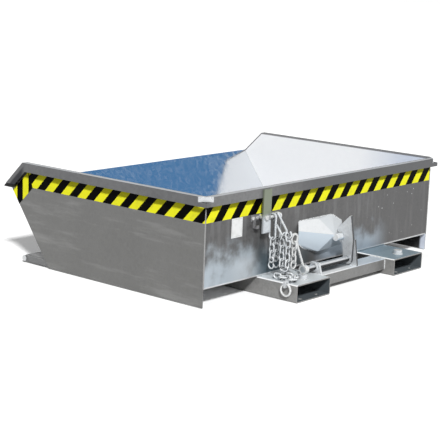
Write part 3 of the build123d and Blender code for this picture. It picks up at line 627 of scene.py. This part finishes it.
# Hazard tape: self-adhesive film stuck round the tub under the rim, printed with slanting stripes,
# yellow and black by turns. It has gone a little dull and carries fine scratches.
def striped(name, pitch, phase, turn):
    """Slanting stripes of one pitch. turn picks the run of the tape from the object's coordinates."""
    clean_yellow, dirty_yellow = (0.9, 0.88, 0.025, 1), (0.7, 0.67, 0.04, 1)
    clean_black, dirty_black = (0.001, 0.001, 0.001, 1), (0.005, 0.004, 0.003, 1)
    finish, shade, shader = new_finish(name, Metallic=0.0, Specular_IOR_Level=0.02)
    place = shade.node("TexCoord", {}, out="Object")
    wave = shade.math("FRACT", (turn(shade, place) - phase) * (1 / pitch))
    edge = noise(shade, place, 420.0, 2.0) - 0.5
    grime = noise(shade, place, 26.0, 6.0, 0.7)
    lemon = coat(shade, grime.between(0.45, 0.8), clean_yellow, dirty_yellow)
    ink = coat(shade, grime.between(0.4, 0.8), clean_black, dirty_black)
    yellow = shade.math("ABSOLUTE", wave - 0.5) + 0.02 * edge > 0.25
    relief = shade.node("Bump", {"Strength": 0.1, "Distance": 0.0003, "Height": grime + 0.2 * edge})
    gloss = 0.36 + 0.3 * (grime - 0.5)
    feed(shader, Base_Color=coat(shade, yellow, ink, lemon), Roughness=gloss, Normal=relief)
    return finish


def along_side(lean):
    """Run along a side tape, which turns down with the rim at the knee, for stripes of one lean."""
    knee_step = 0.0455

    def run(shade, place):
        x, _, z = axes(shade, place)
        ahead, up = x - knee_x, z - rim_top
        level = ahead + lean * up
        fallen = ahead * (cos(rim_fall) + lean * sin(rim_fall)) + up * (lean * cos(rim_fall) - sin(rim_fall))
        past = ahead * cos(rim_fall / 2) - up * sin(rim_fall / 2) > 0.0
        return shade.node("Mix", {0: past, 2: level, 3: fallen + knee_step}, out=0, data_type="FLOAT")

    return run


def along_back(lean):
    """Run along the back tape, for stripes of one lean."""

    def run(shade, place):
        y, z = axes(shade, place)[1:]
        return y + lean * z

    return run


def refinished(node, finish):
    """Gives a solid that is shown as it is a finish of its own."""
    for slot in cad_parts[node].material_slots:
        slot.link = "OBJECT"
        slot.material = finish


tape_foot, side_lean, back_lean, side_pitch, back_pitch = 0.3435, 0.95, 0.8, 0.1003, 0.106
left_phase = 0.0895 - knee_reach + side_lean * (tape_foot - rim_top)
right_phase = 0.03
back_phase = 0.0544 + back_lean * tape_foot
refinished("hazard_tape_left", striped("tape_left", side_pitch, left_phase, along_side(side_lean)))
refinished("hazard_tape_right", striped("tape_right", side_pitch, right_phase, along_side(-side_lean)))
refinished("hazard_tape_back", striped("tape_back", back_pitch, back_phase, along_back(back_lean)))


# Hinge arms and pins: flat galvanised bars welded inside the skirts, bored at the front for the turned
# steel pins that run in the pivot tube.
turned_steel = galvanised(
    "turned_steel", (0.42, 0.43, 0.44, 1), (0.72, 0.73, 0.74, 1), rough=0.3, crystal=200.0, metallic=0.9
)
weld_end = wall_low.x + 0.87
seams = []
for side in ("left", "right"):
    dressed("hinge_arm_" + side, "tub", [zinc_beam], edge=0.0012)
    dressed("pivot_pin_" + side, "tub", [turned_steel], edge=0.0008)
    low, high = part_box("hinge_arm_" + side)
    y = high.y if side == "left" else low.y
    for z in (high.z, low.z):
        seams.append(((low.x, y, z), (weld_end, y, z)))
weld_bead("hinge_arm_welds", "tub", seams, zinc_bead, size=0.003)


# Latch hood and lock pin: a cap folded from galvanised sheet, with a ridge that rises from the wall to the
# pin and facets above and below it, welded to the back wall all round. The round pin that the hook grips
# sits in its tip.
def hood_painted_light(shade, place, colour, haze):
    """Painted light and shade: white on facets that look up, greyer on those that look right, bluer on those
    that look down.
    """
    grey, blue = (0.56, 0.6, 0.63, 1), (0.62, 0.73, 0.83, 1)
    y, z = facing(shade)[1:]
    # painted light and shade on the facets, chosen by the way they look
    right = 1 - y.between(-0.15, 0.35)
    colour = coat(shade, 0.75 * right, colour, grey)
    under = 1 - z.between(-0.2, -0.05)
    return coat(shade, 0.8 * under, colour, blue)


zinc_hood = galvanised(
    "zinc_hood",
    (0.64, 0.65, 0.66, 1),
    (0.82, 0.825, 0.83, 1),
    rough=0.4,
    crystal=80.0,
    contrast=0.5,
    metallic=0.2,
    extra=hood_painted_light,
)
# corners of the foot on the wall: y and z
hood_foot = [
    (0.212, 0.275),
    (-0.027, 0.276),
    (-0.105, 0.237),
    (-0.085, 0.137),
    (0.08, 0.124),
    (0.172, 0.151),
    (0.209, 0.174),
]
# corners of the folds: out from the wall, y and z
hood_folds = [
    (0.0125, 0.227, 0.237),
    (0.0175, 0.093, 0.2755),
    (0.0395, 0.118, 0.218),
    (0.0605, 0.027, 0.202),
    (0.0225, 0.093, 0.13),
    (0.0225, -0.083, 0.139),
]
bend_radius, flat, fold = 0.0016, radians(1), radians(4)
bm = bmesh.new()
for out, y, z in [(0.0, y, z) for y, z in hood_foot] + hood_folds:
    bm.verts.new((wall_low.x - out, y, z))
bmesh.ops.convex_hull(bm, input=bm.verts)
bmesh.ops.dissolve_limit(bm, angle_limit=flat, verts=bm.verts, edges=bm.edges)
rounded(bm, [e for e in bm.edges if e.calc_face_angle() > fold], bend_radius, segments=2)
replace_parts(smooth_piece("finished_latch_hood", bm, [zinc_hood], "tub"), "latch_hood")
dressed("lock_pin", "tub", [zinc_hood], edge=0.0016)
seams = [((wall_low.x, *a), (wall_low.x, *b)) for a, b in zip(hood_foot, hood_foot[1:] + hood_foot[:1])]
weld_bead("hood_welds", "tub", seams, zinc_bead, size=0.0028)


# Hanger bar: a flat galvanised bar that lies against the rim and is bolted to the back wall over a spacer.
# A headed peg is welded across it for the chains. Bolt, nut and peg are bright.
def shaded_upper_bar(shade, place, colour, haze):
    """Painted shade, tinted green as a painted reflection of the tape, on the upper part of the bar; pale
    below the bolt.
    """
    green_grey = (0.19, 0.22, 0.145, 1)
    # painted shade with a green painted reflection on the upper part of the bar
    high_up = (axes(shade, place)[2] + 0.03 * haze).between(0.325, 0.35)
    return coat(shade, 0.9 * high_up, colour, green_grey)


zinc_strap = galvanised(
    "zinc_strap", (0.4, 0.43, 0.46, 1), (0.58, 0.61, 0.64, 1), rough=0.36, contrast=0.4, extra=shaded_upper_bar
)
dressed("hanger_bar", "tub", [zinc_strap], edge=0.0012)
dressed("hanger_spacer", "tub", [zinc_plate], edge=0.0008)
dressed("hanger_bolt", "tub", [bright_plate], edge=0.0005)
dressed("hanger_nut", "tub", [bright_plate], edge=0.0005)
dressed("chain_peg", "tub", [bright_plate], edge=0.0012)


# Bare tag and bare plate: the tag is stuck on the hanger bar, the plate on the back wall beside it.
# Both are thin white film with a faint printed border and nothing written on them, greyed by dust.
def bare_film(name, node, clean, dusty):
    """White film, a little grey with dust, with a thin grey line inside its edge."""
    line_grey, line_out, line_in = (0.35, 0.36, 0.36, 1), -0.0042, -0.0055
    finish, shade, shader = new_finish(name, Metallic=0.0)
    low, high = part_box(node)
    middle, half = (low + high) / 2, (high - low) / 2
    place = shade.node("TexCoord", {}, out="Object")
    y, z = axes(shade, place)[1:]
    across = shade.math("ABSOLUTE", y - middle.y) - half.y
    upright = shade.math("ABSOLUTE", z - middle.z) - half.z
    inset = shade.math("MAXIMUM", across, upright)
    line = (inset > line_in) * (1 - (inset > line_out))
    grime = noise(shade, place, 45.0, 5.0)
    paper = coat(shade, grime.between(0.4, 0.85), clean, dusty)
    feed(shader, Base_Color=coat(shade, 0.6 * line, paper, line_grey), Roughness=0.4 + 0.3 * (grime - 0.5))
    refinished(node, finish)


bare_film("film_tag", "blank_tag", clean=(0.66, 0.7, 0.74, 1), dusty=(0.52, 0.55, 0.58, 1))
bare_film("film_plate", "blank_plate", clean=(0.86, 0.87, 0.87, 1), dusty=(0.7, 0.71, 0.7, 1))


# Parking hook: a small bent steel plate on the back wall where the loose end of a chain is hung.
# It is galvanised, gone dull, and held by two plated screws.
zinc_dull = galvanised("zinc_dull", (0.14, 0.14, 0.145, 1), (0.34, 0.34, 0.35, 1), rough=0.4, crystal=120.0)
dressed("parking_hook", "tub", [zinc_dull], edge=0.0007)
dressed("parking_hook_bolts", "tub", [bright_plate], edge=0.0005)


# Safety chains: on the peg hang two strands, each a long link, three welded links and an open hook,
# and the slack of the chain lies in a loop on the left pocket below them. All are bent from round bar,
# welded and plated.
def shaded_links(shade, place, colour, haze):
    """Painted shade on the sides of the wire that look down or to the right; elsewhere the bright zinc shows.
    """
    grime = (0.05, 0.056, 0.06, 1)
    y, z = facing(shade)[1:]
    # painted shade: the colour called grime here stands for shade on the wire
    turned = 0.8 * z + 0.6 * y + 0.6 * haze
    return coat(shade, 0.94 - 0.94 * turned.between(-0.2, 0.4), colour, grime)


chain_zinc = galvanised(
    "chain_zinc",
    (0.5, 0.53, 0.56, 1),
    (0.95, 0.97, 0.98, 1),
    rough=0.24,
    crystal=200.0,
    contrast=1.0,
    metallic=0.35,
    extra=shaded_links,
)
for strand in ("chain", "second_chain"):
    for part in ("_top_link", "_links", "_hook"):
        dressed(strand + part, strand, [chain_zinc])
dressed("slack_chain_links", "base", [chain_zinc])


# Spare loop of the first chain: a long link that leans out in front of its strand, with a run of welded
# links hung double from its end and an open grab hook beside them. Bent from round bar, welded and plated.
def wire_link(bm, wire, width, length, place):
    """One welded link of round wire, upright in the XZ plane before it is placed. Width and length are
    those of its opening."""
    bow, straight = (width + wire) / 2, (length - width) / 2
    foot = Matrix.Translation((bow, 0, -straight))
    made = bmesh.ops.create_circle(bm, segments=10, radius=wire / 2, matrix=foot)["verts"]
    ring = list({edge for v in made for edge in v.link_edges})
    for side in (1, -1):
        drawn = bmesh.ops.extrude_edge_only(bm, edges=ring)["geom"]
        ends = {v for v in drawn if isinstance(v, bmesh.types.BMVert)}
        bmesh.ops.translate(bm, verts=list(ends), vec=(0, 0, 2 * straight * side))
        made += ends
        ring = [e for e in drawn if isinstance(e, bmesh.types.BMEdge) and set(e.verts) <= ends]
        before = set(bm.verts)
        turned = bmesh.ops.spin(
            bm, geom=ring + list(ends), cent=(0, 0, straight * side), axis=(0, -1, 0), angle=pi, steps=9
        )
        made += [v for v in bm.verts if v not in before]
        ring = [e for e in turned["geom_last"] if isinstance(e, bmesh.types.BMEdge)]
    bmesh.ops.remove_doubles(bm, verts=made, dist=same_point)
    whole = {v for v in made if v.is_valid}
    bmesh.ops.transform(bm, matrix=place, verts=list(whole))


long_wire, long_width, long_length = 0.009, 0.022, 0.1
link_wire, link_width, link_length, link_pitch = 0.008, 0.013, 0.028, 0.0277
claw_wire, claw_radius, claw_turn, claw_tilt = 0.009, 0.015, radians(-275), radians(-35)
loop_y, lean_out, lean_aside, to_middle, to_bow = 0.4225, radians(45), 0.17, 0.0424, 0.0969
first_out, first_drop, first_tilt = 0.0115, -0.0086, radians(-18)
run_out, run_drop, run_count, lowest_drop = 0.015, -0.0362, 4, -0.1398
claw_out, claw_rise = -0.0155, 0.004
low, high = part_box("chain_peg")
peg = Vector(((low.x + high.x) / 2, loop_y, (low.z + high.z) / 2))
way = Vector((-sin(lean_out), lean_aside, -cos(lean_out))).normalized()
lean = Vector((0, 0, -1)).rotation_difference(way).to_matrix().to_4x4()
bow = peg + to_bow * way
quarter = Matrix.Rotation(radians(90), 4, "Z")
level = Matrix.Rotation(radians(90), 4, "Y")
bm = bmesh.new()
wire_link(bm, long_wire, long_width, long_length, Matrix.Translation(peg + to_middle * way) @ lean)
links = [(Vector((0, 0, lowest_drop)), level)]
for out in (-1, 1):
    tilt = Matrix.Rotation(first_tilt * out, 4, "Y") @ quarter
    links.append((Vector((first_out * out, 0, first_drop)), tilt))
    for number in range(run_count):
        drop = Vector((run_out * out, 0, run_drop - link_pitch * number))
        links.append((drop, quarter if number % 2 else Matrix.Identity(4)))
for drop, turn in links:
    wire_link(bm, link_wire, link_width, link_length, Matrix.Translation(bow + drop) @ turn)
before = set(bm.verts)
claw_foot = Matrix.Translation((claw_radius, 0, 0))
claw = bmesh.ops.create_circle(bm, segments=10, radius=claw_wire / 2, matrix=claw_foot)["verts"]
start = claw + list({edge for v in claw for edge in v.link_edges})
bmesh.ops.spin(bm, geom=start, cent=(0, 0, 0), axis=(0, -1, 0), angle=claw_turn, steps=20)
claw = [v for v in bm.verts if v not in before]
claw_at = bow + Vector((claw_out, 0, claw_rise))
claw_place = Matrix.Translation(claw_at) @ Matrix.Rotation(claw_tilt, 4, "Y")
bmesh.ops.transform(bm, matrix=claw_place, verts=claw)
bmesh.ops.holes_fill(bm, edges=[e for e in bm.edges if e.is_boundary], sides=12)
bmesh.ops.recalc_face_normals(bm, faces=bm.faces)
smooth_piece("spare_chain_loop", bm, [chain_zinc], "chain")


# Floor, sky card, studio light, key lamp and camera. The floor is plain and pale, the card stands for the
# open sky that the bright slope mirrors, and the key lamp is high behind the camera.
def stage_sheet(name, place, finish):
    """A flat sheet of the studio, which is no part of the hopper."""
    bm = bmesh.new()
    bmesh.ops.create_grid(bm, x_segments=2, y_segments=2, size=1, matrix=place)
    mesh = bpy.data.meshes.new(name)
    bm.to_mesh(mesh)
    bm.free()
    mesh.materials.append(finish)
    sheet = bpy.data.objects.new(name, mesh)
    bpy.context.scene.collection.objects.link(sheet)
    return sheet


def shown(shade):
    """1 for what the camera, a mirror or a clear piece sees, 0 for the light that falls on things."""
    camera, mirror, clear = [
        shade.node("LightPath", {}, out=f"Is {kind} Ray") for kind in ("Camera", "Glossy", "Transmission")
    ]
    return shade.math("MAXIMUM", shade.math("MAXIMUM", camera, mirror), clear)


floor_half, floor_drop, under_x, under_y, glow_edge = 30, 0.0005, 0.55, 0.72, 0.15
dim, white, black, pale_glow = (0.4, 0.4, 0.4, 1), (1.0, 1.0, 1.0, 1), (0, 0, 0, 1), (0.2, 0.2, 0.2, 1)
floor_finish, shade, shader = new_finish(
    "floor_paint", Roughness=0.9, Specular_IOR_Level=0.0, Emission_Strength=1.0
)
seen = shown(shade)
x, y = axes(shade, shade.node("TexCoord", {}, out="Object"))[:2]
beside = shade.math("MAXIMUM", shade.math("ABSOLUTE", x) - under_x, shade.math("ABSOLUTE", y) - under_y)
glow = coat(shade, seen * beside.between(0.0, glow_edge), black, pale_glow)
feed(shader, Base_Color=coat(shade, seen, dim, white), Emission_Color=glow)
floor_place = Matrix.Translation((0, 0, -floor_drop)) @ Matrix.Diagonal((floor_half, floor_half, 1, 1))
stage_sheet("floor", floor_place, floor_finish)

slope_middle, card_way, card_away = Vector((0.56, 0.06, 0.215)), Vector((-0.37, -0.75, 0.548)), 2
card_lean, card_half = Matrix.Rotation(radians(-53.2), 4, "Y"), Matrix.Diagonal((0.6, 1.15, 1, 1))
card_finish = new_finish(
    "sky_blue",
    Base_Color=black,
    Roughness=1.0,
    Specular_IOR_Level=0.0,
    Emission_Color=(0.085, 0.215, 0.42, 1),
    Emission_Strength=1.0,
)[0]
card_place = Matrix.Translation(slope_middle + card_away * card_way) @ card_lean @ card_half
card = stage_sheet("sky_card", card_place, card_finish)
card.visible_camera = False
card.visible_diffuse = False
card.visible_shadow = False

fill_light, seen_light = 0.2, 0.8
world = bpy.data.worlds.new("studio")
bpy.context.scene.world = world
world.use_nodes = True
backdrop = world.node_tree.nodes["Background"]
feed(backdrop, Strength=fill_light + seen_light * shown(Shade(world.node_tree)))
backdrop.inputs["Color"].default_value = white

key_way = Vector((0.61, -0.52, -0.66))
key = bpy.data.lights.new("key", "SUN")
key.energy = 3.9
key.angle = radians(7)
key_stand = bpy.data.objects.new("key", key)
key_stand.visible_glossy = False
key_stand.rotation_euler = key_way.to_track_quat("-Z", "Y").to_euler()
bpy.context.scene.collection.objects.link(key_stand)

film, photo_pixels, focal_pixels = 36.0, 440, 1350.16
right_pixels, up_pixels = -2.13, 0.05
camera_data = bpy.data.cameras.new("photo_camera")
camera_data.sensor_width = film
camera_data.lens = film * focal_pixels / photo_pixels
camera_data.shift_x = right_pixels / photo_pixels
camera_data.shift_y = up_pixels / photo_pixels
camera_data.clip_end = 100.0
camera = bpy.data.objects.new("photo_camera", camera_data)
camera.location = (-3.8388, 4.7206, 1.3974)
camera.rotation_euler = (radians(78.6097), radians(-2.1299), radians(-139.5937))
bpy.context.scene.collection.objects.link(camera)
bpy.context.scene.camera = camera
bpy.context.scene.view_settings.view_transform = "Standard"
